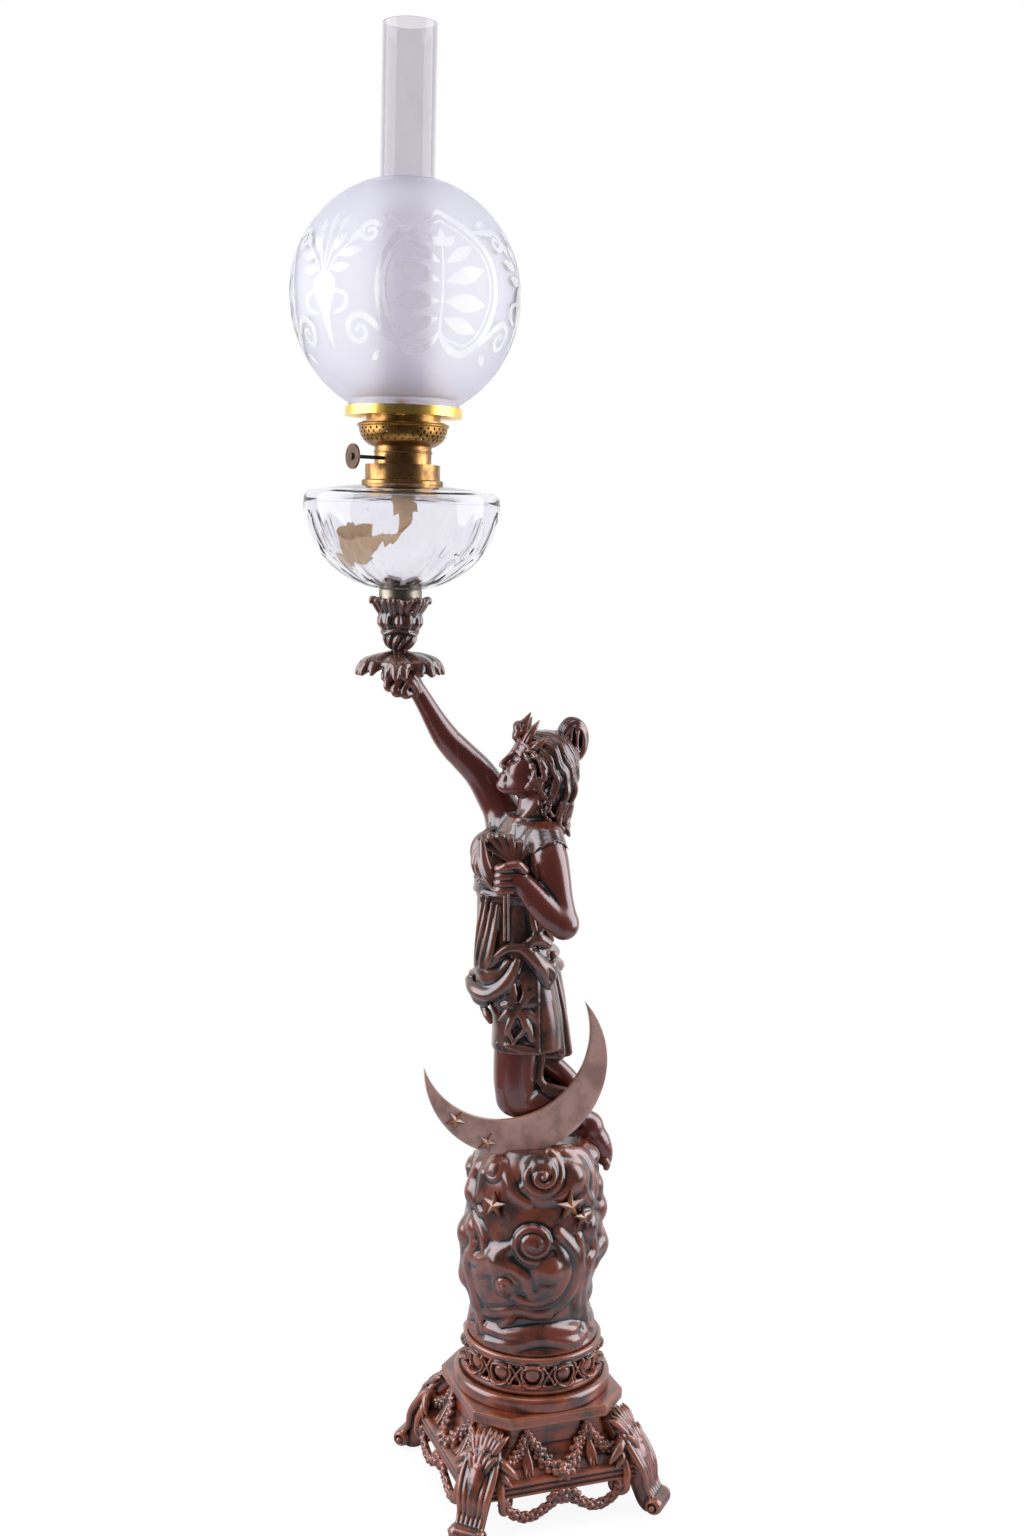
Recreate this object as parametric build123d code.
"""Figural oil lamp: a kneeling torch bearer on a crescent moon and cloud column, with a glass font above.

Millimetres, +Z up. The origin is on the ground under the middle of the base, and -Y faces the viewer.
"""
import os
from math import atan2, cos, degrees, radians, sin, sqrt

from build123d import *

# Driving dimensions: fits
FACE_GAP = 0.2
SLIP_GAP = 0.3
RUNNING_GAP = 0.05
CASTING_WALL = 4.0

# Driving dimensions: base
BASE_TURN = 20.4
FRAME_LOW = 35.0
FRAME_HEIGHT = 14.0
FRAME_HALF = 89.0
FRAME_REED = 2.6
FRAME_WIDTH = 11.0
FRAME_CUT = 30.0
FIELD_RISE = 42.7
FIELD_TOP_HALF = 66.0
FIELD_FOOT_HALF = 86.0
FIELD_TOP_CUT = 24.0
SLAB_HALF = 74.8
SLAB_CUT = 27.5
SLAB_THICK = 11.0
SLAB_EDGE = 1.2
FOOT_WIDTH = 30.0
FOOT_RIB = 7.0
FOOT_FLUTE_DEPTH = 2.0
FOOT_REACH = 141.0
FOOT_PAD = 18.0
FOOT_SCROLL = 8.0
FOOT_SCROLL_PROUD = 2.5
FOOT_ANKLE = 12.5
FOOT_TOE = 6.0
FOOT_BACK = 22.0
CORNER_SHARE = 0.59
SWAG_TUBE = 5.2
SWAG_HOOK_X = 29.0
SWAG_DROP = 34.0
SWAG_HOOK_DROP = 6.0
SWAG_SIDE_REACH = 26.0
SWAG_PROUD = 0.3
TASSEL_LENGTH = 36.0
TASSEL_NECK = 3.4
TASSEL_RADIUS = 4.6
SMALLEST_RELIEF = 60.0
GARLAND_TUBE = 4.2
GARLAND_HALF_SPAN = 58.0
GARLAND_DROP = 17.0
ROSETTE = 8.0

# Driving dimensions: plinth and tie rod
FLANGE_RADIUS = 74.5
FLANGE_HEIGHT = 14.3
FLANGE_SHOULDER = 3.2
BAND_HEIGHT = 35.0
BAND_RADIUS = 66.5
BAND_LIP = 3.0
BAND_FIELD_DEPTH = 1.8
BAND_WALL = 9.0
BAND_BEVEL = 1.5
BAND_LIP_RISE = 5.0
BAND_MOTIFS = 13
RING_RADIUS = 8.6
BUTTON_RADIUS = 5.8
RING_DEPTH = 3.4
BUTTON_DOME = 1.6
ROD_RADIUS = 4.0
ROD_END = 4.0
BAR_WIDTH = 16.0
BAR_THICK = 6.0
BAR_LAND = 4.0
NUT_ACROSS = 13.0
NUT_HEIGHT = 6.5
WASHER_RADIUS = 13.0
WASHER_THICK = 2.0

# Driving dimensions: cloud column, moon and stars
COLUMN_HEIGHT = 209.0
COLUMN_FOOT_RADIUS = 63.0
COLUMN_NECK_RADIUS = 54.0
COLUMN_BELLY_RADIUS = 62.0
COLUMN_TOP_RADIUS = 40.0
COLUMN_LIP = 5.0
COLUMN_BORE = 46.0
COLUMN_LEAN = -3.0
PUFF_RADIUS = 21.0
PUFF_SQUASH = 0.8
CURL_TUBE = 3.4
MOON_OUTER = 86.2
MOON_INNER = 81.6
MOON_THICK = 7.0
MOON_SHIFT_X = -12.5
MOON_SHIFT_Z = 28.0
MOON_X = -20.6
MOON_Y = -30.0
MOON_RISE = 59.0
MOON_TURN = 12.0
STAR_RADIUS = 10.0
MOON_STAR_RADIUS = 8.5
STAR_WAIST = 0.4
STAR_PLATE = 1.2
STAR_RIDGE = 2.8
STAR_STEM = 4.0

# Driving dimensions: figure, heights above the plane it kneels on
HEM_RISE = 72.0
HIP_RISE = 139.0
WAIST_RISE = 194.0
BELT_RISE = 226.0
BUST_RISE = 248.0
SHOULDER_RISE = 274.0
NECK_RISE = 306.0
HEAD_RISE = 336.0
HEAD_HALF = (29.0, 23.5, 33.0)
HAIR_THICK = 6.0
TURN_OF_CHEST = 122.0
THIGH_RADIUS = 20.5
KNEE_RADIUS = 19.4
CALF_RADIUS = 14.5
ANKLE_RADIUS = 9.0
WRIST_RADIUS = 8.2
ELBOW_RADIUS = 13.2
FIST_RADIUS = 14.5
BELT_HEIGHT = 14.0
BELT_THICK = 2.2
BELT_GAP = 0.3
STUD_RADIUS = 4.2
STUD_PROUD = 1.6
STUD_SWING = 13.0
DRAPE_TUBE = 8.5
TIARA_POINTS = 5
TIARA_HEIGHT = 17.0
TIARA_THICK = 3.0
BUN_RADIUS = 13.5
BUN_TUBE = 7.0

# Driving dimensions: drip pan, cup and font
LAMP_X = -138.0
HAND_RISE = 419.0
PAN_RADIUS = 37.5
PAN_DROOP = 14.0
PAN_THICK = 3.0
PAN_HUB = 12.0
PAN_LEAVES = 8
PAN_NOTCH = 9.0
CUP_HEIGHT = 50.0
CUP_NECK = 7.3
CUP_BELLY = 19.6
CUP_RIM = 25.0
CUP_FOOT = 3.0
CUP_LIP = 1.5
CUP_SCALLOP = 4.5
SOCKET_RADIUS = 15.0
SOCKET_DEPTH = 22.0
PEG_FLANGE = 19.4
PEG_SHOW = 6.6
FONT_RADIUS = 88.3
FONT_DEPTH = 77.4
FONT_SHOULDER = 8.0
FONT_CONE = 10.0
FONT_WALL = 4.0
FONT_FLOOR = 1.5
NECK_BORE = 29.0
FLUTES = 24
FLUTE_RADIUS = 9.0
FLUTE_HALF_HEIGHT = 27.0
FLUTE_BITE = 1.4

# Driving dimensions: burner
COLLAR_FLANGE = 36.5
COLLAR_FLANGE_HEIGHT = 4.0
COLLAR_RADIUS = 31.6
COLLAR_HEIGHT = 12.0
SKIRT_RADIUS = 33.6
SHEET = 1.4
WAIST_RADIUS = 25.5
WAIST_HEIGHT = 16.0
WAIST_BEAD = 1.1
BASKET_HEIGHT = 20.0
BASKET_FOOT = 27.0
BASKET_RIM = 41.0
BASKET_ROWS = 4
BASKET_HOLES = 36
BASKET_HOLE = 1.2
BASKET_ROW_LOW = 5.4
BASKET_ROW_STEP = 3.2
BASKET_RIM_TUBE = 1.6
GALLERY_RADIUS = 33.0
GALLERY_HEIGHT = 6.0
PRONG_HEIGHT = 22.0
PRONG_WIDTH = 9.0
PRONGS = 4
RING_OUTER = 52.2
RING_HEIGHT = 8.0
RING_VENTS = 8
RING_VENT_RADIUS = 4.0
DEFLECTOR_RADIUS = 20.5
DEFLECTOR_HEIGHT = 13.0
WICK_WIDTH = 24.0
WICK_THICK = 2.2
WICK_TAIL = 74.0
WICK_CURL = 0.42
WICK_SHOW = 1.5
TUBE_WALL = 1.0
TUBE_TOP = 8.0
KEY_RISE = 5.0
KEY_REACH = 55.0
KEY_RADIUS = 11.0
KEY_THICK = 1.8
KEY_HUB = 3.0
SPINDLE_RADIUS = 1.6
SPROCKET_RADIUS = 4.6
SPROCKET_THICK = 3.0
SPROCKET_SPACE = 12.0
KEY_HEADING = (-0.8, -0.6)

# Driving dimensions: glass over the burner
CHIMNEY_RADIUS = 24.2
CHIMNEY_FOOT = 26.2
CHIMNEY_WALL = 2.0
CHIMNEY_LENGTH = 339.0
GLOBE_RADIUS = 102.0
GLOBE_HALF_HEIGHT = 107.0
GLOBE_WALL = 2.5
GLOBE_NECK = 49.6
GLOBE_MOUTH = 35.0
GLOBE_STAND = 2.0

# Heights worked out from the driving dimensions
FRAME_TOP = FRAME_LOW + FRAME_HEIGHT
SLAB_LOW = FRAME_TOP + FIELD_RISE
FLANGE_LOW = SLAB_LOW + SLAB_THICK
BAND_LOW = FLANGE_LOW + FLANGE_HEIGHT
COLUMN_LOW = BAND_LOW + BAND_HEIGHT
KNEEL_Z = COLUMN_LOW + COLUMN_HEIGHT
HAND_TOP = KNEEL_Z + HAND_RISE
PAN_TOP = HAND_TOP + PAN_HUB
CUP_TOP = PAN_TOP + CUP_HEIGHT
FONT_LOW = CUP_TOP + PEG_SHOW
FONT_WAIST = FONT_LOW + FONT_DEPTH
FONT_TOP = FONT_WAIST + FONT_SHOULDER + FONT_CONE
COLLAR_TOP = FONT_TOP + COLLAR_FLANGE_HEIGHT + COLLAR_HEIGHT
SKIRT_TOP = COLLAR_TOP + FACE_GAP + SHEET
WAIST_TOP = SKIRT_TOP + WAIST_HEIGHT
BASKET_TOP = WAIST_TOP + BASKET_HEIGHT
GALLERY_TOP = BASKET_TOP + GALLERY_HEIGHT
KEY_Z = SKIRT_TOP + KEY_RISE
WICK_TUBE_TOP = GALLERY_TOP + TUBE_TOP
CHIMNEY_LOW = BASKET_TOP + SHEET + FACE_GAP
GLOBE_LOW = GALLERY_TOP + SHEET + FACE_GAP
GLOBE_NECK_DROP = GLOBE_HALF_HEIGHT * sqrt(1 - (GLOBE_NECK / GLOBE_RADIUS) ** 2)
GLOBE_SEAT = RING_HEIGHT + GLOBE_STAND
GLOBE_Z = GLOBE_LOW + GLOBE_SEAT + GLOBE_NECK_DROP
SPINDLE_OFFSET = WICK_THICK / 2 + SLIP_GAP + SPROCKET_RADIUS
WICK_TURN = degrees(atan2(KEY_HEADING[1], KEY_HEADING[0])) + 180


def octagon(half, cut, z):
    """Square of the given half width with its corners cut off."""
    near = half - cut
    corners = [(near, -half), (half, -near), (half, near), (near, half)]
    corners += [(-x, -y) for x, y in corners]
    return Pos(0, 0, z) * make_face(Polyline(*corners, close=True))


def octagon_stack(levels):
    """Straight-sided stack through (half width, corner cut, height) levels."""
    return loft([octagon(*level) for level in levels], ruled=True)


def lathe(points):
    """Turned piece about Z from a closed (radius, height) outline."""
    return revolve(Plane.XZ * make_face(Polyline(*points, close=True)), Axis.Z)


def ring(outer, inner, low, high):
    """Plain turned ring between two heights."""
    return lathe([(inner, low), (outer, low), (outer, high), (inner, high)])


def disc(radius, low, high):
    """Plain round plate between two heights."""
    return Pos(0, 0, (low + high) / 2) * Cylinder(radius, high - low)


def ellipsoid(centre, halves):
    """Ellipsoid with the given half axes."""
    return Pos(*centre) * scale(Sphere(1.0), by=halves)


def limb(stations):
    """Smooth tapering member through (x, y, z, radius) stations."""
    points = [Vector(*station[:3]) for station in stations]
    sections = []
    for index, point in enumerate(points):
        before = points[max(index - 1, 0)]
        after = points[min(index + 1, len(points) - 1)]
        along = (after - before).normalized()
        across = along.cross(Vector(0, 1, 0)).normalized()
        sections.append(Plane(origin=point, x_dir=across, z_dir=along) * Circle(stations[index][3]))
    return loft(sections)


def body_loft(stations):
    """Smooth casting through level ellipses (x, y, z, long half, short half, turn of the long half)."""
    sections = []
    for x, y, z, long_half, short_half, turn in stations:
        heading = (cos(radians(turn)), sin(radians(turn)), 0)
        level = Plane(origin=(x, y, z), x_dir=heading, z_dir=(0, 0, 1))
        sections.append(level * Ellipse(long_half, short_half))
    return loft(sections)


def arc_tube(start, middle, end, radius):
    """Round rope bent through three points."""
    path = ThreePointArc(start, middle, end)
    return sweep(Plane(origin=path @ 0, z_dir=path % 0) * Circle(radius), path=path)


def around(shape, count):
    """Copies of a shape turned evenly about Z."""
    return [shape.rotate(Axis.Z, 360 / count * index) for index in range(count)]


def grouped(shapes):
    """One group of separate solids."""
    return Compound([solid for shape in shapes for solid in shape.solids()])


def on_lamp(shape):
    """Moves a piece turned about Z onto the lamp's own axis."""
    return Pos(LAMP_X, 0, 0) * shape


# Base castings

def field_half(z):
    """Half width of the concave field at a height."""
    share = (SLAB_LOW - z) / FIELD_RISE
    return FIELD_TOP_HALF + (FIELD_FOOT_HALF - FIELD_TOP_HALF) * share ** 2


def field_levels(inset):
    """Levels of the flared field, drawn in by a wall."""
    levels = []
    for step in range(6):
        z = FRAME_TOP + FIELD_RISE * step / 5
        share = (SLAB_LOW - z) / FIELD_RISE
        cut = FIELD_TOP_CUT + (FRAME_CUT - FIELD_TOP_CUT) * share
        levels.append((field_half(z) - inset, cut - inset * CORNER_SHARE, z))
    return levels


def make_base_fill():
    """Outside of the flared field without its hollow."""
    return octagon_stack(field_levels(0))


def make_base_frame():
    """Reeded frame round the foot of the field."""
    reed = FRAME_HEIGHT / 7
    steps = [0, FRAME_REED, FRAME_REED, 0.4 * FRAME_REED, 0.4 * FRAME_REED, FRAME_REED, FRAME_REED, 0]
    levels = [(FRAME_HALF + proud, FRAME_CUT, FRAME_LOW + reed * index) for index, proud in enumerate(steps)]
    inner = FRAME_HALF - FRAME_WIDTH
    inner_cut = FRAME_CUT - FRAME_WIDTH * CORNER_SHARE
    hollow = octagon_stack([(inner, inner_cut, FRAME_LOW), (inner, inner_cut, FRAME_TOP)])
    return octagon_stack(levels) - hollow


def make_slab():
    """Octagonal slab with eased edges and the rod hole."""
    low = SLAB_LOW
    high = FLANGE_LOW
    eased = SLAB_HALF - SLAB_EDGE
    levels = [(eased, SLAB_CUT, low), (SLAB_HALF, SLAB_CUT, low + SLAB_EDGE)]
    levels += [(SLAB_HALF, SLAB_CUT, high - SLAB_EDGE), (eased, SLAB_CUT, high)]
    return octagon_stack(levels) - disc(ROD_RADIUS + RUNNING_GAP, low, high)


def foot_outline(inset):
    """Side view of a scroll foot along the diagonal: cabriole back, ankle and turned-up toe."""
    ankle = FOOT_REACH - FOOT_ANKLE
    knee_z = 0.92 * FRAME_TOP
    top = (SLAB_HALF * sqrt(2) - SLAB_CUT / sqrt(2) - 2.0, SLAB_LOW)
    back = Spline(
        (top[0] - inset, top[1]),
        (ankle - 20 - inset, SLAB_LOW - FOOT_BACK),
        (ankle - 2 - inset, knee_z),
        (ankle + 1 - inset, 0.44 * FRAME_TOP),
    )
    toe = Spline(
        back @ 1,
        (FOOT_REACH - 4 - inset, 0.4 * FRAME_TOP - inset),
        (FOOT_REACH - inset, 0.2 * FRAME_TOP),
        (FOOT_REACH - FOOT_TOE - inset, 0),
    )
    sole = Line(toe @ 1, (FOOT_REACH - FOOT_TOE - FOOT_PAD, 0))
    inside = Spline(
        sole @ 1,
        (ankle - 21, 0.5 * FRAME_TOP),
        (FOOT_REACH - 40, 0.8 * FRAME_TOP),
        (FIELD_TOP_HALF, FRAME_TOP),
    )
    rise = Line(inside @ 1, (FIELD_TOP_HALF, SLAB_LOW))
    cap = Line(rise @ 1, back @ 0)
    return make_face([back, toe, sole, inside, rise, cap])


def make_foot(fill):
    """Fluted scroll foot on the diagonal, trimmed to the castings that it is soldered to."""
    core = extrude(Plane.XZ * foot_outline(FOOT_FLUTE_DEPTH), FOOT_WIDTH / 2, both=True)
    rib = extrude(Plane.XZ * foot_outline(0), FOOT_RIB / 2, both=True)
    spread = FOOT_WIDTH / 2 - FOOT_RIB / 2
    scroll = Rot(90, 0, 0) * Cylinder(FOOT_SCROLL, FOOT_WIDTH + 2 * FOOT_SCROLL_PROUD)
    foot = core + rib + Pos(0, spread, 0) * rib + Pos(0, -spread, 0) * rib
    foot += Pos(FOOT_REACH - 34, 0, FRAME_LOW - FOOT_SCROLL - 1) * scroll
    foot = foot.rotate(Axis.Z, 45)
    frame_block = octagon_stack([(FRAME_HALF + FRAME_REED, FRAME_CUT, FRAME_LOW),
                                 (FRAME_HALF + FRAME_REED, FRAME_CUT, FRAME_TOP)])
    return foot - fill - frame_block


def make_swags(fill, frame, feet):
    """Relief swags and tassels on the four sides of the field."""
    hook_z = SLAB_LOW - SWAG_HOOK_DROP
    low_z = hook_z - SWAG_DROP
    hook_y = -field_half(hook_z)
    low_y = -field_half(low_z) - SWAG_PROUD * SWAG_TUBE
    side_x = SWAG_HOOK_X + SWAG_SIDE_REACH
    side_z = hook_z - 0.62 * SWAG_DROP
    side_y = -field_half(side_z) - SWAG_PROUD * SWAG_TUBE
    middle_z = hook_z - 0.4 * TASSEL_LENGTH
    foot_z = hook_z - TASSEL_LENGTH
    tuft_z = foot_z + 1.7 * TASSEL_RADIUS
    left = (-SWAG_HOOK_X, hook_y, hook_z)
    right = (SWAG_HOOK_X, hook_y, hook_z)
    parts = [arc_tube(left, (0, low_y, low_z), right, SWAG_TUBE)]
    for hand in (-1, 1):
        x = hand * SWAG_HOOK_X
        middle = (hand * (SWAG_HOOK_X + 0.46 * SWAG_SIDE_REACH), side_y + 2, side_z - 2)
        end = (hand * side_x, side_y, side_z + SWAG_TUBE)
        parts.append(arc_tube((x, hook_y, hook_z), middle, end, 0.85 * SWAG_TUBE))
        parts.append(limb([
            (x, hook_y - 1, hook_z + 2, TASSEL_NECK),
            (x, -field_half(middle_z) - 1, middle_z, TASSEL_NECK),
            (x, -field_half(tuft_z) - 1, tuft_z, TASSEL_RADIUS),
            (x, -field_half(foot_z) - 1, foot_z, 0.3 * TASSEL_RADIUS),
        ]))
    side = parts[0].fuse(*parts[1:]) - fill - frame
    group = []
    for turned in around(side, 4):
        trimmed = turned.cut(*feet)
        group += trimmed.solids()
    return grouped([solid for solid in group if solid.volume > SMALLEST_RELIEF])


def make_garlands(frame, feet):
    """Double garland with a middle rosette under each side of the frame."""
    y = -(FRAME_HALF - FRAME_WIDTH / 2)
    low = FRAME_LOW - GARLAND_DROP
    rosette = ellipsoid((0, y, FRAME_LOW - 0.6 * ROSETTE), (1.2 * ROSETTE, 0.7 * ROSETTE, ROSETTE))
    garland = rosette
    for hand in (-1, 1):
        end = (hand * GARLAND_HALF_SPAN, y, FRAME_LOW + 1)
        middle = (hand * GARLAND_HALF_SPAN * 0.53, y, low)
        garland += arc_tube((0, y, FRAME_LOW - 2), middle, end, GARLAND_TUBE)
    garland = garland - frame
    group = []
    for turned in around(garland, 4):
        trimmed = turned.cut(*feet)
        group.append(max(trimmed.solids(), key=lambda solid: solid.volume))
    return grouped(group)


# Plinth, band and tie rod

def make_flange():
    """Stepped round flange under the pierced band."""
    lip = FLANGE_RADIUS - FLANGE_SHOULDER
    outline = [
        (COLUMN_BORE, FLANGE_LOW),
        (FLANGE_RADIUS, FLANGE_LOW),
        (FLANGE_RADIUS, FLANGE_LOW + 0.3 * FLANGE_HEIGHT),
        (lip, FLANGE_LOW + 0.55 * FLANGE_HEIGHT),
        (lip, BAND_LOW),
        (COLUMN_BORE, BAND_LOW),
    ]
    return lathe(outline)


def make_band():
    """Band of rings and domed buttons between two lips."""
    field = BAND_RADIUS - BAND_FIELD_DEPTH
    outline = [
        (BAND_RADIUS - BAND_WALL, BAND_LOW),
        (BAND_RADIUS, BAND_LOW),
        (BAND_RADIUS + BAND_LIP, BAND_LOW + BAND_BEVEL),
        (BAND_RADIUS + BAND_LIP, BAND_LOW + BAND_LIP_RISE),
        (field + BAND_BEVEL, BAND_LOW + 1.5 * BAND_LIP_RISE),
        (field, COLUMN_LOW - 1.4 * BAND_LIP_RISE),
        (BAND_RADIUS, COLUMN_LOW - BAND_LIP_RISE),
        (BAND_RADIUS, COLUMN_LOW - BAND_BEVEL),
        (BAND_RADIUS - BAND_BEVEL, COLUMN_LOW),
        (BAND_RADIUS - BAND_WALL, COLUMN_LOW),
    ]
    band = lathe(outline)
    middle = (BAND_LOW + COLUMN_LOW) / 2
    pitch = 360 / BAND_MOTIFS
    pocket = Pos(field + RING_DEPTH / 4, 0, middle) * Rot(0, 90, 0) * Cylinder(RING_RADIUS, 2.5 * RING_DEPTH)
    crown = Cone(BUTTON_RADIUS, 0.5 * BUTTON_RADIUS, BUTTON_DOME)
    plug = Cylinder(BUTTON_RADIUS, 2 * RING_DEPTH) + Pos(0, 0, RING_DEPTH + BUTTON_DOME / 2) * crown
    button = Pos(field - RING_DEPTH, 0, middle) * Rot(0, 90, 0) * plug
    half_width = 0.24 * radians(pitch) * field
    wedge = make_face(Polyline((-half_width, 0), (half_width, 0), (0, -0.8 * RING_RADIUS), close=True))
    seat = (field - 0.6 * RING_DEPTH, 0, middle + RING_RADIUS)
    facing = Plane(origin=seat, x_dir=(0, 1, 0), z_dir=(1, 0, 0))
    notch = extrude(facing * wedge, 2 * RING_DEPTH)
    lower = mirror(notch, about=Plane((0, 0, middle)))
    start = pitch / 4
    cutters = around(pocket.rotate(Axis.Z, start), BAND_MOTIFS)
    for wedge_cut in (notch, lower):
        cutters += around(wedge_cut.rotate(Axis.Z, start + pitch / 2), BAND_MOTIFS)
    return band.cut(*cutters).fuse(*around(button.rotate(Axis.Z, start), BAND_MOTIFS))


def make_tie():
    """Rod, cross bar, nuts and washer that clamp column, band, flange and slab together."""
    bar_low = COLUMN_LOW + COLUMN_LIP
    bar_top = bar_low + BAR_THICK
    washer_low = SLAB_LOW - WASHER_THICK
    nut_low = washer_low - NUT_HEIGHT
    hole = ROD_RADIUS + RUNNING_GAP
    bar_block = Box(2 * (COLUMN_BORE + BAR_LAND), BAR_WIDTH, BAR_THICK)
    bar = Pos(0, 0, bar_low + BAR_THICK / 2) * bar_block - disc(hole, bar_low, bar_top)
    hexagon = RegularPolygon(NUT_ACROSS / 2, 6, major_radius=False)
    nut = extrude(hexagon, NUT_HEIGHT) - disc(hole, 0, NUT_HEIGHT)
    rod = disc(ROD_RADIUS, nut_low - ROD_END, bar_top + NUT_HEIGHT + ROD_END)
    washer = ring(WASHER_RADIUS, hole, washer_low, SLAB_LOW)
    nuts = grouped([Pos(0, 0, nut_low) * nut, Pos(0, 0, bar_top) * nut])
    return {"tie_rod": rod, "tie_bar": bar, "tie_nuts": nuts, "tie_washer": washer}


# Cloud column, moon and stars

def column_stations(inset):
    """Level circles of the cloud column, drawn in by a wall."""
    belly = COLUMN_BELLY_RADIUS
    rows = [
        (0.00, COLUMN_FOOT_RADIUS, 0.0),
        (0.07, COLUMN_FOOT_RADIUS - 2.5, 0.3),
        (0.17, COLUMN_NECK_RADIUS, 1.0),
        (0.34, belly - 2, 1.0),
        (0.55, belly, 1.0),
        (0.76, belly - 5, 1.0),
        (0.90, 0.8 * belly, 1.0),
        (1.00, COLUMN_TOP_RADIUS, 1.0),
    ]
    return [(COLUMN_LEAN * lean, 0, COLUMN_LOW + COLUMN_HEIGHT * share, radius - inset, radius - inset, 0)
            for share, radius, lean in rows]


def curl(radius, hand):
    """Rolled cloud curl: half turns that wind in by a steady step."""
    step = 2.3 * CURL_TUBE
    edges = []
    left = -radius
    right = radius
    side = 1
    while right - left > 1.3 * step:
        middle = (left + right) / 2
        bend = side * (right - left) / 2
        if side > 0:
            edges.append(ThreePointArc((left, 0), (middle, bend), (right, 0)))
            left += step
        else:
            edges.append(ThreePointArc((right, 0), (middle, bend), (left, 0)))
            right -= step
        side = -side
    path = Wire(edges)
    tube = sweep(Plane(origin=path @ 0, z_dir=path % 0) * Circle(CURL_TUBE), path=path)
    tube = tube + Pos(*(path @ 1)) * Sphere(CURL_TUBE * 1.1)
    return tube if hand > 0 else mirror(tube, about=Plane.YZ)


def facing_out(angle, radius, z, shape):
    """Places a flat shape on the column, facing outward at an angle from the front."""
    turn = radians(angle)
    origin = (COLUMN_LEAN + radius * sin(turn), -radius * cos(turn), z)
    return Plane(origin=origin, x_dir=(cos(turn), sin(turn), 0), z_dir=(sin(turn), -cos(turn), 0)) * shape


def make_column(moon):
    """Hollow cloud casting with puffs and rolled curls, open below over its clamping lip."""
    body = body_loft(column_stations(0))
    rows = [(0.43, 7, 0.86, 1.0, 20), (0.68, 6, 0.8, 0.9, -8)]
    puffs = []
    for share, count, reach, size, start in rows:
        reach_out = COLUMN_BELLY_RADIUS * reach
        z = COLUMN_LOW + COLUMN_HEIGHT * share
        tall = PUFF_RADIUS * size
        for index in range(count):
            turn = radians(start + 360 / count * index)
            centre = (COLUMN_LEAN + reach_out * sin(turn), -reach_out * cos(turn), z)
            puffs.append(ellipsoid(centre, (PUFF_SQUASH * tall, PUFF_SQUASH * tall, tall)))
    belly = COLUMN_BELLY_RADIUS
    curls = [
        facing_out(3, belly - 6, COLUMN_LOW + 0.79 * COLUMN_HEIGHT, curl(15.0, 1)),
        facing_out(-38, belly - 8, COLUMN_LOW + 0.82 * COLUMN_HEIGHT, curl(9.5, -1)),
        facing_out(-2, belly + 1, COLUMN_LOW + 0.52 * COLUMN_HEIGHT, curl(14.0, 1)),
        facing_out(-24, belly - 1, COLUMN_LOW + 0.31 * COLUMN_HEIGHT, curl(12.0, -1)),
        facing_out(120, belly - 3, COLUMN_LOW + 0.72 * COLUMN_HEIGHT, curl(14.0, 1)),
        facing_out(200, belly, COLUMN_LOW + 0.45 * COLUMN_HEIGHT, curl(14.0, -1)),
    ]
    hollow = body_loft(column_stations(CASTING_WALL + 1)[1:-1])
    hollow += disc(COLUMN_BORE, COLUMN_LOW, COLUMN_LOW + 0.1 * COLUMN_HEIGHT)
    hollow += disc(COLUMN_BORE + 6, COLUMN_LOW + COLUMN_LIP, COLUMN_LOW + 0.1 * COLUMN_HEIGHT)
    return body.fuse(*puffs, *curls) - hollow - moon


def make_moon():
    """Flat crescent between two circles, standing in front of the knees."""
    sickle = Circle(MOON_OUTER) - Pos(MOON_SHIFT_X, MOON_SHIFT_Z) * Circle(MOON_INNER)
    plate = extrude(Plane.XZ * sickle, MOON_THICK / 2, both=True)
    return Pos(MOON_X, MOON_Y, KNEEL_Z + MOON_RISE) * plate.rotate(Axis.Z, MOON_TURN)


def star(radius, stem):
    """Faceted five-pointed star on a plate of the given thickness, its back on the local plane."""
    points = []
    for index in range(10):
        reach = radius if index % 2 == 0 else STAR_WAIST * radius
        turn = radians(90 + 36 * index)
        points.append((reach * cos(turn), reach * sin(turn)))
    face = make_face(Polyline(*points, close=True))
    facets = loft([Pos(0, 0, stem) * face, Vertex(0, 0, stem + STAR_RIDGE)], ruled=True)
    return extrude(face, stem) + facets


def make_stars(column):
    """Stars on the crescent and on the column."""
    turn = radians(MOON_TURN)
    face = MOON_THICK / 2
    stars = []
    for along, height in ((-58.0, -51.5), (-27.5, -74.5)):
        origin = (MOON_X + along * cos(turn) + face * sin(turn),
                  MOON_Y + along * sin(turn) - face * cos(turn),
                  KNEEL_Z + MOON_RISE + height)
        place = Plane(origin=origin, x_dir=(cos(turn), sin(turn), 0), z_dir=(sin(turn), -cos(turn), 0))
        stars.append(place * star(MOON_STAR_RADIUS, STAR_PLATE))
    for angle, share, sink in ((-34, 0.70, 3.4), (36, 0.66, 3.2), (50, 0.585, 2.4)):
        reach = COLUMN_BELLY_RADIUS - sink - STAR_STEM
        shape = star(STAR_RADIUS, STAR_STEM + STAR_PLATE)
        trimmed = facing_out(angle, reach, COLUMN_LOW + share * COLUMN_HEIGHT, shape) - column
        stars.append(max(trimmed.solids(), key=lambda solid: solid.volume))
    return grouped(stars)


# Figure castings

def figure(x, y, rise, *rest):
    """Station of the figure from its height above the plane it kneels on."""
    return (x, y, KNEEL_Z + rise, *rest)


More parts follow.
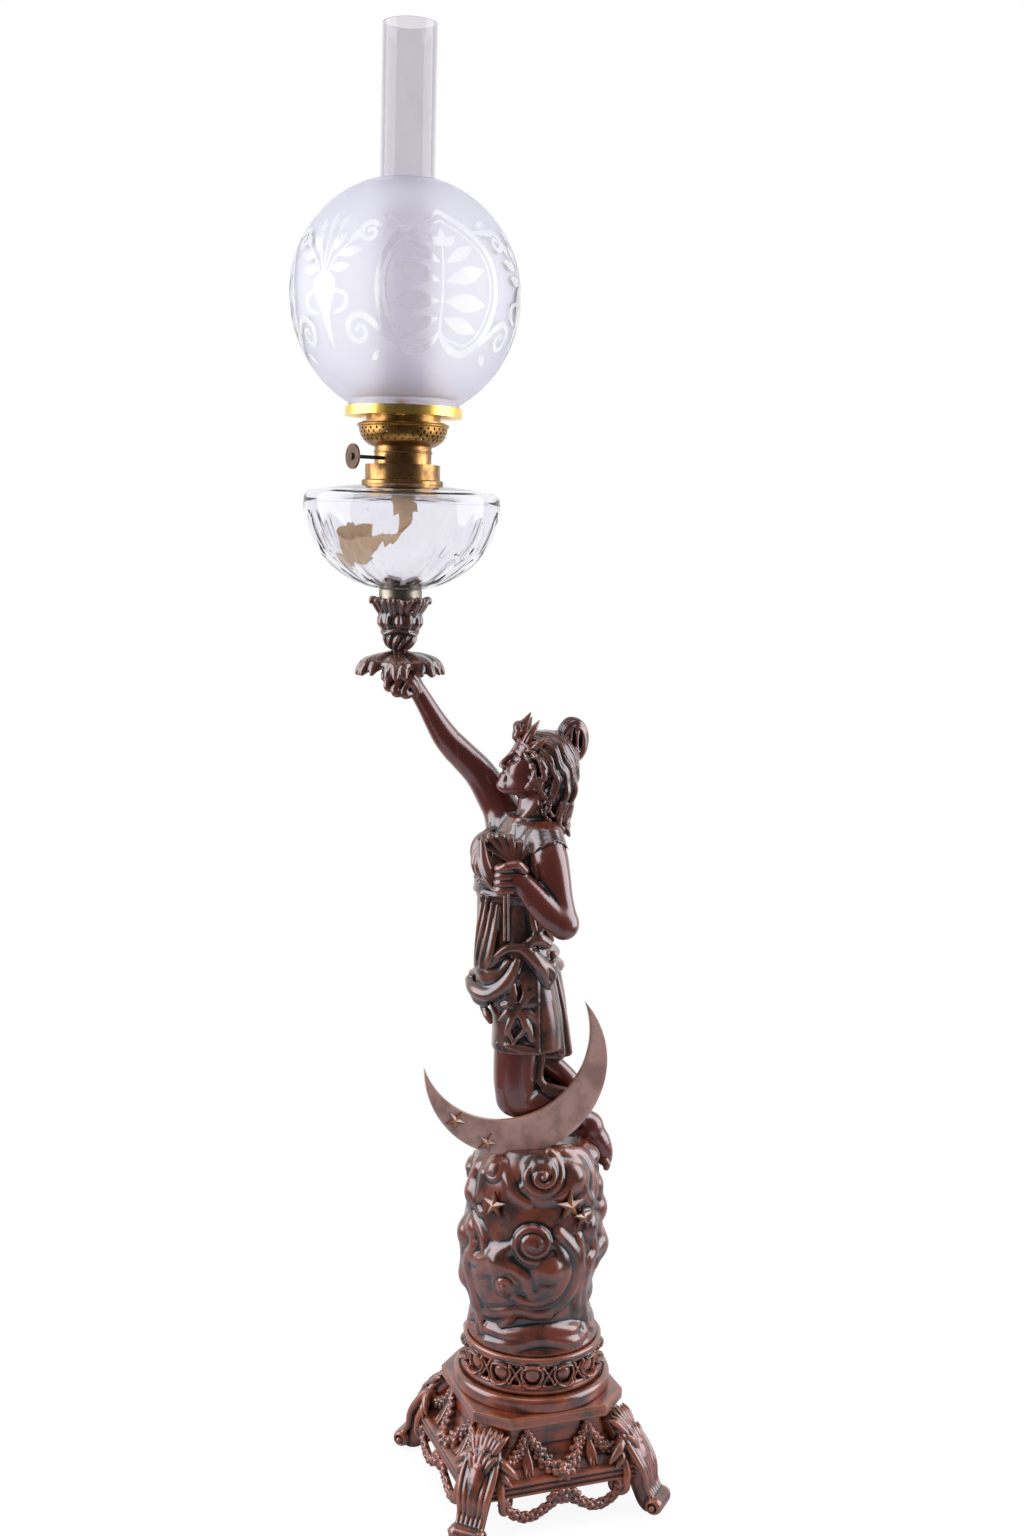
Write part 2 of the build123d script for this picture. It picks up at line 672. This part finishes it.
def make_skirt_block():
    """Outside of the short skirt over both thighs."""
    return body_loft([
        figure(-12, 2, HEM_RISE, 37, 33, 90),
        figure(-13, 2, HEM_RISE + 22, 36, 32, 90),
        figure(-18, 1, HEM_RISE + 44, 37, 32, 92),
        figure(-27, 0, HIP_RISE, 39, 36, 95),
    ])


def make_skirt_hollow():
    """Hollow of the skirt above its closed hem."""
    return body_loft([
        figure(-14, 2, HEM_RISE + 10, 31, 27, 90),
        figure(-18, 1, HEM_RISE + 44, 31, 26, 92),
        figure(-27, 0, HIP_RISE, 34, 31, 95),
    ])


def torso_stations(inset):
    """Level ellipses of hips, waist, chest and shoulders."""
    chest = TURN_OF_CHEST
    rows = [
        (-27, 0, HIP_RISE, 39, 36, 95),
        (-30, -1, HIP_RISE + 26, 37, 34, 100),
        (-31, -2, WAIST_RISE, 35, 31, 110),
        (-27, -2, BELT_RISE, 39, 33, chest),
        (-24, -2, BUST_RISE, 43, 33, chest),
        (-19, -2, SHOULDER_RISE - 6, 47, 26, chest),
        (-16, -2, SHOULDER_RISE + 8, 34, 20, chest),
    ]
    return [figure(x, y, rise, long_half - inset, short_half - inset, turn)
            for x, y, rise, long_half, short_half, turn in rows]


def make_torso_block():
    """Outside of the bust in a sleeveless dress, with the neck."""
    shell = body_loft(torso_stations(0))
    neck = limb([
        figure(-12, -2, SHOULDER_RISE - 8, 24),
        figure(-10, -2, SHOULDER_RISE + 10, 18),
        figure(-10, -2, NECK_RISE, 16.5),
    ])
    bust = ellipsoid(figure(-49, -24, BUST_RISE - 1), (20, 18, 19))
    far_bust = ellipsoid(figure(-51, 12, BUST_RISE + 2), (18, 18, 19))
    return shell.fuse(neck, bust, far_bust)


def make_torso_hollow():
    """Hollow of the bust, open at the hips."""
    return body_loft(torso_stations(CASTING_WALL + 1)[:-2])


def make_head(torso):
    """Plain oval head with a softly set chin, on the neck."""
    skull = ellipsoid(figure(-9, -2, HEAD_RISE), HEAD_HALF)
    jaw = ellipsoid(figure(-20, -4, HEAD_RISE - 14), (17, 16, 20))
    nose = limb([figure(-34, -6, HEAD_RISE + 5, 2.0), figure(-40, -7, HEAD_RISE - 4, 3.6)])
    return (skull + jaw + nose) - torso


def make_hair(head, torso):
    """Wavy hair over crown, sides and nape, leaving the face free."""
    half = tuple(side + HAIR_THICK for side in HEAD_HALF)
    cap = ellipsoid(figure(-5, -1, HEAD_RISE + 1), half)
    nape = limb([
        figure(6, 2, HEAD_RISE + 8, 22),
        figure(12, 4, HEAD_RISE - 18, 17),
        figure(18, 8, HEAD_RISE - 50, 9),
        figure(21, 10, HEAD_RISE - 68, 4),
    ])
    face = ellipsoid(figure(-46, -10, HEAD_RISE - 10), (34, 30, 36))
    return (cap + nape) - face - head - torso


def make_bun(hair, head):
    """Open loop of hair behind the crown."""
    loop = Torus(BUN_RADIUS, BUN_TUBE)
    loop = loop.rotate(Axis.X, 78).rotate(Axis.Y, 24)
    return Pos(*figure(21, 4, HEAD_RISE + 22)) * loop - hair - head


def make_tiara(hair, head):
    """Front half of a hair band with upright leaves over the brow."""
    half_x = HEAD_HALF[0] + HAIR_THICK
    half_y = HEAD_HALF[1] + HAIR_THICK
    low = KNEEL_Z + HEAD_RISE + 9
    band = body_loft([(-5, -1, low, half_x + 2, half_y + 2, 0), (-5, -1, low + 8, half_x + 1, half_y + 1, 0)])
    band -= Pos(45, 0, low) * Box(100, 200, 40)
    leaves = []
    for index in range(TIARA_POINTS):
        turn = radians(180 + 32 * (index - (TIARA_POINTS - 1) / 2))
        origin = (-5 + 0.97 * half_x * cos(turn), -1 + 0.97 * half_y * sin(turn), low + 4)
        leaf = make_face(Polyline((-8, -4), (8, -4), (6, 7), (0, TIARA_HEIGHT), (-6, 7), close=True))
        place = Plane(origin=origin, x_dir=(-sin(turn), cos(turn), 0), z_dir=(cos(turn), sin(turn), 0))
        leaves.append(extrude(place * leaf, TIARA_THICK / 2, both=True))
    return band.fuse(*leaves) - hair - head


def make_raised_arm(torso):
    """Raised arm with the closed hand under the drip pan."""
    arm = limb([
        figure(-26, 26, SHOULDER_RISE - 12, 20),
        figure(-44, 32, SHOULDER_RISE + 16, 17.5),
        figure(-62, 28, SHOULDER_RISE + 45, 15),
        figure(-81, 22, SHOULDER_RISE + 66, ELBOW_RADIUS),
        figure(-98, 15, SHOULDER_RISE + 87, 10.8),
        figure(-118, 5, SHOULDER_RISE + 120, WRIST_RADIUS),
        figure(LAMP_X + 8, 1, HAND_RISE - 7, WRIST_RADIUS + 1),
    ])
    palm = ellipsoid(figure(LAMP_X + 1, 0, HAND_RISE - 9), (15, 14, 11))
    level = Pos(LAMP_X, 0, HAND_TOP + 20) * Box(90, 90, 40)
    return (arm + palm) - level - torso


def make_bent_arm(torso, belt):
    """Near arm bent across the chest to a closed fist."""
    upper = limb([
        figure(0, -34, SHOULDER_RISE - 4, 17),
        figure(4, -45, SHOULDER_RISE - 20, 17.5),
        figure(10, -52, SHOULDER_RISE - 48, 14.5),
        figure(15, -56, SHOULDER_RISE - 74, 13.5),
    ])
    fore = limb([
        figure(17, -57, SHOULDER_RISE - 78, 13.5),
        figure(2, -61, SHOULDER_RISE - 62, 14),
        figure(-18, -62, SHOULDER_RISE - 40, 11),
        figure(-24, -62, SHOULDER_RISE - 36, 10.5),
    ])
    elbow = ellipsoid(figure(15, -57, SHOULDER_RISE - 77), (14.5, 14, 14.5))
    fist = ellipsoid(figure(-32, -60, SHOULDER_RISE - 34), (FIST_RADIUS, FIST_RADIUS, 1.1 * FIST_RADIUS))
    return upper.fuse(fore, elbow, fist) - torso - belt


def make_near_leg(skirt, moon):
    """Near leg kneeling upright, with the calf and foot trailing behind."""
    thigh = limb([
        figure(-21, -14, HEM_RISE, THIGH_RADIUS),
        figure(-20.5, -13, HEM_RISE - 24, THIGH_RADIUS),
        figure(-19, -9, KNEE_RADIUS, KNEE_RADIUS - 0.6),
    ])
    knee = ellipsoid(figure(-19, -8, KNEE_RADIUS), (KNEE_RADIUS, KNEE_RADIUS, KNEE_RADIUS))
    calf = limb([
        figure(-18, -7, KNEE_RADIUS - 2, KNEE_RADIUS - 3),
        figure(14, 1, CALF_RADIUS, CALF_RADIUS),
        figure(48, 13, -8, ANKLE_RADIUS),
        figure(56, 15, -20, ANKLE_RADIUS),
    ])
    foot = limb([
        figure(48, 14, -2, ANKLE_RADIUS),
        figure(58, 15, -20, 12),
        figure(66, 16, -40, 10),
        figure(67, 16, -53, 6),
    ])
    return thigh.fuse(knee, calf, foot) - skirt - moon


def make_far_leg(skirt, near_leg):
    """Far leg kneeling beside the near one."""
    thigh = limb([
        figure(-10, 22, HEM_RISE, 16),
        figure(-9, 23, HEM_RISE - 24, 17),
        figure(-8, 24, KNEE_RADIUS - 3, 16),
    ])
    knee = ellipsoid(figure(-8, 24, KNEE_RADIUS - 2.4), (17, 17, KNEE_RADIUS - 2.4))
    calf = limb([
        figure(-6, 25, KNEE_RADIUS + 4, 14),
        figure(16, 27, KNEE_RADIUS + 3, 13.5),
        figure(34, 29, 6, 12),
        figure(44, 30, -10, ANKLE_RADIUS),
        figure(48, 31, -34, 7),
    ])
    return thigh.fuse(knee, calf) - skirt - near_leg


def make_belt():
    """Belt under the bust with two round studs."""
    x, y, top, long_half, short_half, turn = torso_stations(0)[3]
    inner = (long_half + BELT_GAP, short_half + BELT_GAP)
    outer = (inner[0] + BELT_THICK, inner[1] + BELT_THICK)
    belt = extrude(Ellipse(*outer) - Ellipse(*inner), BELT_HEIGHT)
    for swing in (STUD_SWING, -STUD_SWING):
        way = radians(90 + swing)
        spot = (outer[0] * cos(way), outer[1] * sin(way), BELT_HEIGHT / 2)
        out = (cos(way) / outer[0], sin(way) / outer[1], 0)
        seat = Plane(origin=spot, x_dir=(0, 0, 1), z_dir=out)
        belt += seat * Cone(STUD_RADIUS, 0.6 * STUD_RADIUS, 2 * STUD_PROUD)
    return Pos(x, y, top - BELT_HEIGHT) * belt.rotate(Axis.Z, turn)


def make_drape(skirt, torso):
    """Rolled and swagged hip drape with two hanging fluted ends."""
    z = KNEEL_Z + HIP_RISE
    roll = arc_tube((-64, -8, z - 8), (-30, -40, z - 16), (10, -20, z + 4), DRAPE_TUBE)
    back = arc_tube((10, -20, z + 4), (6, 28, z + 2), (-40, 38, z - 4), DRAPE_TUBE - 2)
    left = ellipsoid((-58, -12, z - 10), (11, 22, 11))
    ends = limb([(6, -30, z + 6, 6), (13, -32, z - 4, 7.5), (12, -33, z - 20, 5.5), (10, -33, z - 26, 3)])
    return roll.fuse(back, left, ends) - skirt - torso


# Lamp: pan, cup and glass font

def make_pan():
    """Drip pan of drooping leaves round a hub that stands on the hand."""
    low = PAN_TOP - PAN_DROOP
    outline = [
        (0, HAND_TOP),
        (PAN_HUB, HAND_TOP),
        (PAN_HUB + 3, PAN_TOP - PAN_THICK - 2),
        (0.62 * PAN_RADIUS, PAN_TOP - PAN_THICK - 4),
        (PAN_RADIUS - 2, low - PAN_THICK),
        (PAN_RADIUS, low),
        (0.66 * PAN_RADIUS, PAN_TOP - 3),
        (CUP_NECK, PAN_TOP),
        (0, PAN_TOP),
    ]
    pan = lathe(outline)
    notch = Pos(PAN_RADIUS, 0, PAN_TOP) * Cylinder(PAN_NOTCH, 4 * PAN_DROOP)
    return on_lamp(pan.cut(*around(notch, PAN_LEAVES)))


def make_cup():
    """Vase-shaped cup with a scalloped leaf rim and the peg socket."""
    outline = make_face([
        Spline((CUP_NECK, PAN_TOP + CUP_FOOT), (0.76 * CUP_BELLY, PAN_TOP + 0.42 * CUP_HEIGHT),
               (CUP_BELLY, PAN_TOP + 0.7 * CUP_HEIGHT), (0.86 * CUP_BELLY, PAN_TOP + 0.86 * CUP_HEIGHT),
               (CUP_RIM, CUP_TOP - CUP_LIP)),
        Line((CUP_RIM, CUP_TOP - CUP_LIP), (CUP_RIM - CUP_LIP, CUP_TOP)),
        Line((CUP_RIM - CUP_LIP, CUP_TOP), (0, CUP_TOP)),
        Line((0, CUP_TOP), (0, PAN_TOP)),
        Line((0, PAN_TOP), (CUP_NECK, PAN_TOP)),
        Line((CUP_NECK, PAN_TOP), (CUP_NECK, PAN_TOP + CUP_FOOT)),
    ])
    cup = revolve(Plane.XZ * outline, Axis.Z)
    socket = disc(SOCKET_RADIUS, CUP_TOP - SOCKET_DEPTH, CUP_TOP)
    scallop = Pos(CUP_RIM + CUP_SCALLOP / 2, 0, CUP_TOP) * Cylinder(CUP_SCALLOP, 2 * CUP_SCALLOP)
    return on_lamp(cup.cut(socket, *around(scallop, PAN_LEAVES)))


def font_bowl(radius, depth):
    """Lower half of an ellipsoid below the font's widest level."""
    whole = Pos(0, 0, FONT_WAIST) * scale(Sphere(1.0), by=(radius, radius, depth))
    return whole & (Pos(0, 0, FONT_WAIST - depth) * Cylinder(2 * radius, 2 * depth))


def font_top(inset, mouth):
    """Rounded shoulder and shallow cone over the bowl."""
    radius = FONT_RADIUS - inset
    shoulder = FONT_WAIST + FONT_SHOULDER - inset
    round_end = (radius - 0.55 * FONT_SHOULDER, shoulder)
    round_middle = (radius - 0.14 * FONT_SHOULDER, FONT_WAIST + 0.62 * (shoulder - FONT_WAIST))
    edges = [
        ThreePointArc((radius, FONT_WAIST), round_middle, round_end),
        Line(round_end, (mouth, FONT_TOP - inset)),
        Line((mouth, FONT_TOP - inset), (0, FONT_TOP - inset)),
        Line((0, FONT_TOP - inset), (0, FONT_WAIST)),
        Line((0, FONT_WAIST), (radius, FONT_WAIST)),
    ]
    return revolve(Plane.XZ * make_face(edges), Axis.Z)


def make_font_outside():
    """Outer form of the glass font."""
    return font_bowl(FONT_RADIUS, FONT_DEPTH) + font_top(0, COLLAR_FLANGE)


def make_font():
    """Blown and cut glass font with thumb-cut flutes and an open neck."""
    hollow = font_bowl(FONT_RADIUS - FONT_WALL, FONT_DEPTH - FONT_WALL - FONT_FLOOR)
    hollow += font_top(FONT_WALL, COLLAR_FLANGE)
    glass = make_font_outside() - hollow - disc(NECK_BORE, FONT_WAIST, FONT_TOP)
    reach = FONT_RADIUS + FLUTE_RADIUS - FLUTE_BITE - 1.6
    thumb = Pos(reach, 0, FONT_WAIST - 0.32 * FONT_DEPTH) * Rot(0, 12, 0) * scale(
        Sphere(1.0), by=(FLUTE_RADIUS, FLUTE_RADIUS, FLUTE_HALF_HEIGHT))
    return on_lamp(glass.cut(*around(thumb, FLUTES)))


def make_peg(font_outside):
    """Peg cemented under the font, dropped into the cup's socket."""
    spigot_low = CUP_TOP - SOCKET_DEPTH + FACE_GAP
    peg = disc(PEG_FLANGE, CUP_TOP, FONT_LOW + 4) + disc(SOCKET_RADIUS - RUNNING_GAP, spigot_low, CUP_TOP)
    return on_lamp(peg - font_outside)


# Burner

def make_collar():
    """Brass collar cemented on the font's neck."""
    flange_top = FONT_TOP + COLLAR_FLANGE_HEIGHT
    outline = [
        (NECK_BORE, FONT_TOP),
        (COLLAR_FLANGE, FONT_TOP),
        (COLLAR_FLANGE, flange_top - 1),
        (COLLAR_FLANGE - 1, flange_top),
        (COLLAR_RADIUS, flange_top),
        (COLLAR_RADIUS, COLLAR_TOP),
        (NECK_BORE, COLLAR_TOP),
    ]
    return on_lamp(lathe(outline))


def key_frame(offset, along, z):
    """Plane across the key's spindle at a distance along it from the lamp's axis."""
    head_x, head_y = KEY_HEADING
    origin = (LAMP_X + along * head_x - offset * head_y, along * head_y + offset * head_x, z)
    return Plane(origin=origin, x_dir=(-head_y, head_x, 0), z_dir=(head_x, head_y, 0))


def key_rod(radius, start, end):
    """Round rod on the key's axis between two distances from the lamp's axis."""
    return extrude(key_frame(SPINDLE_OFFSET, start, KEY_Z) * Circle(radius), end - start)


def flat_block(width, thick, low, high):
    """Upright flat block on the lamp's axis, in line with the key."""
    block = Pos(0, 0, (low + high) / 2) * Box(width, thick, high - low)
    return on_lamp(block.rotate(Axis.Z, WICK_TURN))


def wick_slot(extra):
    """Room for the wick tube through a burner sheet."""
    width = WICK_WIDTH + 2 * (SLIP_GAP + TUBE_WALL) + extra
    thick = WICK_THICK + 2 * (SLIP_GAP + TUBE_WALL) + extra
    return flat_block(width, thick, FONT_LOW, WICK_TUBE_TOP + 40)


def make_burner_body():
    """Burner skirt over the collar, top plate and waist tube, with the spindle hole."""
    skirt_low = FONT_TOP + COLLAR_FLANGE_HEIGHT + FACE_GAP
    plate_low = COLLAR_TOP + FACE_GAP
    skirt = ring(SKIRT_RADIUS, COLLAR_RADIUS + SLIP_GAP, skirt_low, SKIRT_TOP)
    plate = disc(SKIRT_RADIUS, plate_low, SKIRT_TOP)
    waist = ring(WAIST_RADIUS, WAIST_RADIUS - SHEET, SKIRT_TOP, WAIST_TOP)
    bead = Pos(0, 0, (SKIRT_TOP + WAIST_TOP) / 2 + 3) * Torus(WAIST_RADIUS - FACE_GAP, WAIST_BEAD)
    body = on_lamp(skirt + plate + waist + bead - disc(WAIST_RADIUS - SHEET, SKIRT_TOP, WAIST_TOP))
    hole = key_rod(SPINDLE_RADIUS + RUNNING_GAP, WAIST_RADIUS - 12, WAIST_RADIUS + 6)
    return body - wick_slot(0) - hole


def make_basket():
    """Bowl-shaped sheet basket with rows of round air holes and a rolled rim."""
    low = WAIST_TOP
    high = BASKET_TOP
    wall_top = high - 1.5 * BASKET_RIM_TUBE
    wall_radius = BASKET_RIM - BASKET_RIM_TUBE
    bulge = (BASKET_FOOT + 0.72 * (BASKET_RIM - BASKET_FOOT), low + 0.4 * BASKET_HEIGHT)
    bulge_inside = (bulge[0] - 0.8 * SHEET, bulge[1] + 0.6 * SHEET)
    foot_inside = (BASKET_FOOT - SHEET, low)
    top_inside = (wall_radius - SHEET, wall_top)
    outline = make_face([
        ThreePointArc((BASKET_FOOT, low), bulge, (wall_radius, wall_top)),
        Line((wall_radius, wall_top), (wall_radius, high)),
        Line((wall_radius, high), (wall_radius - SHEET, high)),
        Line((wall_radius - SHEET, high), top_inside),
        ThreePointArc(top_inside, bulge_inside, foot_inside),
        Line(foot_inside, (BASKET_FOOT, low)),
    ])
    floor = ring(BASKET_FOOT - SHEET / 2, WAIST_RADIUS - 2 * SHEET, low, low + SHEET)
    rim = Pos(0, 0, high - BASKET_RIM_TUBE) * Torus(wall_radius, BASKET_RIM_TUBE)
    basket = revolve(Plane.XZ * outline, Axis.Z) + floor + rim
    drill = Rot(0, 90, 0) * Cylinder(BASKET_HOLE, 4 * BASKET_RIM_TUBE + BASKET_HEIGHT / 2)
    cutters = []
    for row in range(BASKET_ROWS):
        z = low + BASKET_ROW_LOW + BASKET_ROW_STEP * row
        stagger = 360 / BASKET_HOLES * (0.25 + 0.5 * (row % 2))
        hole = Pos(bulge[0], 0, z) * drill
        cutters += around(hole.rotate(Axis.Z, stagger), BASKET_HOLES)
    return on_lamp(basket.cut(*cutters))


def make_gallery():
    """Gallery cup that carries the chimney between spring prongs."""
    plate = ring(BASKET_RIM - 4, DEFLECTOR_RADIUS - 3, BASKET_TOP, BASKET_TOP + SHEET)
    wall = ring(GALLERY_RADIUS, GALLERY_RADIUS - SHEET, BASKET_TOP, GALLERY_TOP)
    inner = CHIMNEY_FOOT + SLIP_GAP
    sleeve = ring(inner + SHEET, inner, BASKET_TOP, BASKET_TOP + PRONG_HEIGHT)
    tongue = Pos(inner, 0, BASKET_TOP + PRONG_HEIGHT / 2) * Box(10, PRONG_WIDTH, PRONG_HEIGHT)
    prongs = [sleeve & turned for turned in around(tongue, PRONGS)]
    return on_lamp(plate.fuse(wall, *prongs))


def make_ring():
    """Polished ring that holds the globe, on a vented plate."""
    floor = ring(RING_OUTER, GALLERY_RADIUS - SHEET, GALLERY_TOP, GALLERY_TOP + SHEET)
    wall = ring(RING_OUTER, RING_OUTER - SHEET, GALLERY_TOP, GALLERY_TOP + RING_HEIGHT)
    reach = (GALLERY_RADIUS + GLOBE_NECK - 2 * GLOBE_WALL) / 2
    vent = Pos(reach, 0, GALLERY_TOP) * Cylinder(RING_VENT_RADIUS, 4 * SHEET)
    return on_lamp((floor + wall).cut(*around(vent, RING_VENTS)))


def make_deflector():
    """Domed flame deflector with the slot for the wick."""
    low = BASKET_TOP + SHEET
    outside = Pos(0, 0, low) * scale(Sphere(1.0), by=(DEFLECTOR_RADIUS, DEFLECTOR_RADIUS, DEFLECTOR_HEIGHT))
    inside = Pos(0, 0, low) * scale(Sphere(1.0), by=(DEFLECTOR_RADIUS - SHEET, DEFLECTOR_RADIUS - SHEET,
                                                      DEFLECTOR_HEIGHT - SHEET))
    upper = disc(2 * DEFLECTOR_RADIUS, low, low + 2 * DEFLECTOR_HEIGHT)
    return on_lamp((outside - inside) & upper) - wick_slot(2 * SLIP_GAP + 2)


def make_wick_tube():
    """Flat tube that guides the wick, windowed for the sprockets."""
    low = COLLAR_TOP - 6
    width = WICK_WIDTH + 2 * SLIP_GAP
    thick = WICK_THICK + 2 * SLIP_GAP
    tube = flat_block(width + 2 * TUBE_WALL, thick + 2 * TUBE_WALL, low, WICK_TUBE_TOP)
    tube = tube - flat_block(width, thick, low, WICK_TUBE_TOP)
    for side in (-0.5, 0.5):
        start = side * SPROCKET_SPACE - SPROCKET_THICK / 2 - SLIP_GAP
        tube = tube - key_rod(SPROCKET_RADIUS + SLIP_GAP, start, start + SPROCKET_THICK + 2 * SLIP_GAP)
    return tube


def make_wick():
    """Cotton band through the tube, its tail hanging and curling in the font."""
    top = WICK_TUBE_TOP + WICK_SHOW
    low = FONT_TOP - 6
    upper = flat_block(WICK_WIDTH, WICK_THICK, low, top)
    half = WICK_THICK / 2
    curl_radius = WICK_CURL * WICK_TAIL
    centre_z = low - 0.3 * WICK_TAIL
    straight = [(-half, low), (half, low), (half, centre_z), (-half, centre_z)]
    tail = make_face(Polyline(*straight, close=True))
    quarter = Pos(-curl_radius, -curl_radius) * Rectangle(2 * curl_radius, 2 * curl_radius)
    bend = (Circle(curl_radius + half) - Circle(curl_radius - half)) & quarter
    tail = extrude(Plane.XZ * tail, WICK_WIDTH / 2, both=True)
    hook = extrude(Plane.XZ * (Pos(curl_radius, centre_z) * bend), WICK_WIDTH / 2, both=True)
    return upper + on_lamp((tail + hook).rotate(Axis.Z, WICK_TURN + 90))


def make_key():
    """Spindle, two wick sprockets and the flat key disc on its hub."""
    start = -SPROCKET_SPACE / 2 - SPROCKET_THICK
    spindle = key_rod(SPINDLE_RADIUS, start, KEY_REACH)
    sprockets = []
    for side in (-0.5, 0.5):
        low = side * SPROCKET_SPACE - SPROCKET_THICK / 2
        wheel = key_rod(SPROCKET_RADIUS, low, low + SPROCKET_THICK)
        sprockets.append(wheel - key_rod(SPINDLE_RADIUS, low, low + SPROCKET_THICK))
    hub_low = KEY_REACH - 2 * KEY_THICK
    hub_high = KEY_REACH + 2 * KEY_THICK
    plate = key_rod(KEY_RADIUS, KEY_REACH, KEY_REACH + KEY_THICK) + key_rod(KEY_HUB, hub_low, hub_high)
    plate = plate - key_rod(SPINDLE_RADIUS, hub_low, KEY_REACH)
    return {"key_spindle": spindle, "wick_sprockets": grouped(sprockets), "key_disc": plate}


# Glass over the burner

def make_chimney():
    """Clear straight chimney, a little wider at its foot."""
    low = CHIMNEY_LOW
    high = low + CHIMNEY_LENGTH
    throat = low + PRONG_HEIGHT + 14
    outline = [
        (CHIMNEY_FOOT - CHIMNEY_WALL, low),
        (CHIMNEY_FOOT, low),
        (CHIMNEY_FOOT, throat - 12),
        (CHIMNEY_RADIUS, throat),
        (CHIMNEY_RADIUS, high),
        (CHIMNEY_RADIUS - CHIMNEY_WALL, high),
        (CHIMNEY_RADIUS - CHIMNEY_WALL, throat),
        (CHIMNEY_FOOT - CHIMNEY_WALL, throat - 12),
    ]
    return on_lamp(lathe(outline))


def make_globe():
    """Frosted ball shade, open above, with a neck that stands in the ring."""
    outer = Pos(0, 0, GLOBE_Z) * scale(Sphere(1.0), by=(GLOBE_RADIUS, GLOBE_RADIUS, GLOBE_HALF_HEIGHT))
    inner_half = (GLOBE_RADIUS - GLOBE_WALL, GLOBE_RADIUS - GLOBE_WALL, GLOBE_HALF_HEIGHT - GLOBE_WALL)
    inner = Pos(0, 0, GLOBE_Z) * scale(Sphere(1.0), by=inner_half)
    neck_top = GLOBE_LOW + GLOBE_SEAT
    below = disc(2 * GLOBE_RADIUS, GLOBE_LOW - GLOBE_RADIUS, neck_top)
    mouth = disc(GLOBE_MOUTH, GLOBE_Z, GLOBE_Z + 2 * GLOBE_HALF_HEIGHT)
    neck = ring(GLOBE_NECK, GLOBE_NECK - GLOBE_WALL, GLOBE_LOW, neck_top)
    return on_lamp(outer - inner - below - mouth + neck)


def build_lamp():
    """All pieces by node name."""
    fill = make_base_fill()
    frame = make_base_frame()
    moon = make_moon()
    corner = make_foot(fill)
    corners = around(corner, 4)
    parts = {
        "base_shell": fill - octagon_stack(field_levels(CASTING_WALL)),
        "base_frame": frame,
        "octagon_slab": make_slab(),
        "base_swags": make_swags(fill, frame, corners),
        "apron_garlands": make_garlands(frame, corners),
    }
    names = ("foot_back_right", "foot_back_left", "foot_front_left", "foot_front_right")
    parts.update(zip(names, corners))
    parts = {name: part.rotate(Axis.Z, BASE_TURN) for name, part in parts.items()}
    parts.update(make_tie())
    column = make_column(moon)
    skirt = make_skirt_block()
    torso = make_torso_block()
    belt = make_belt()
    head = make_head(torso)
    hair = make_hair(head, torso)
    near_leg = make_near_leg(skirt, moon)
    far_leg = make_far_leg(skirt, near_leg)
    column = column - near_leg - far_leg
    parts.update({
        "plinth_flange": make_flange(),
        "pierced_band": make_band(),
        "cloud_column": column,
        "crescent_moon": moon,
        "stars": make_stars(column),
        "near_leg": near_leg,
        "far_leg": far_leg,
        "skirt": skirt - make_skirt_hollow(),
        "hip_drape": make_drape(skirt, torso),
        "torso": torso - make_torso_hollow(),
        "belt": belt,
        "head": head,
        "hair": hair,
        "hair_bun": make_bun(hair, head),
        "tiara": make_tiara(hair, head),
        "raised_arm": make_raised_arm(torso),
        "bent_arm": make_bent_arm(torso, belt),
        "drip_pan": make_pan(),
        "lamp_cup": make_cup(),
        "font_peg": make_peg(make_font_outside()),
        "font": make_font(),
        "font_collar": make_collar(),
        "burner_body": make_burner_body(),
        "burner_basket": make_basket(),
        "gallery": make_gallery(),
        "shade_ring": make_ring(),
        "flame_deflector": make_deflector(),
        "wick_tube": make_wick_tube(),
        "wick": make_wick(),
        "chimney": make_chimney(),
        "globe": make_globe(),
    })
    parts.update(make_key())
    return parts


os.makedirs("parts", exist_ok=True)
for node, piece in build_lamp().items():
    export_step(piece, f"parts/{node}.step")
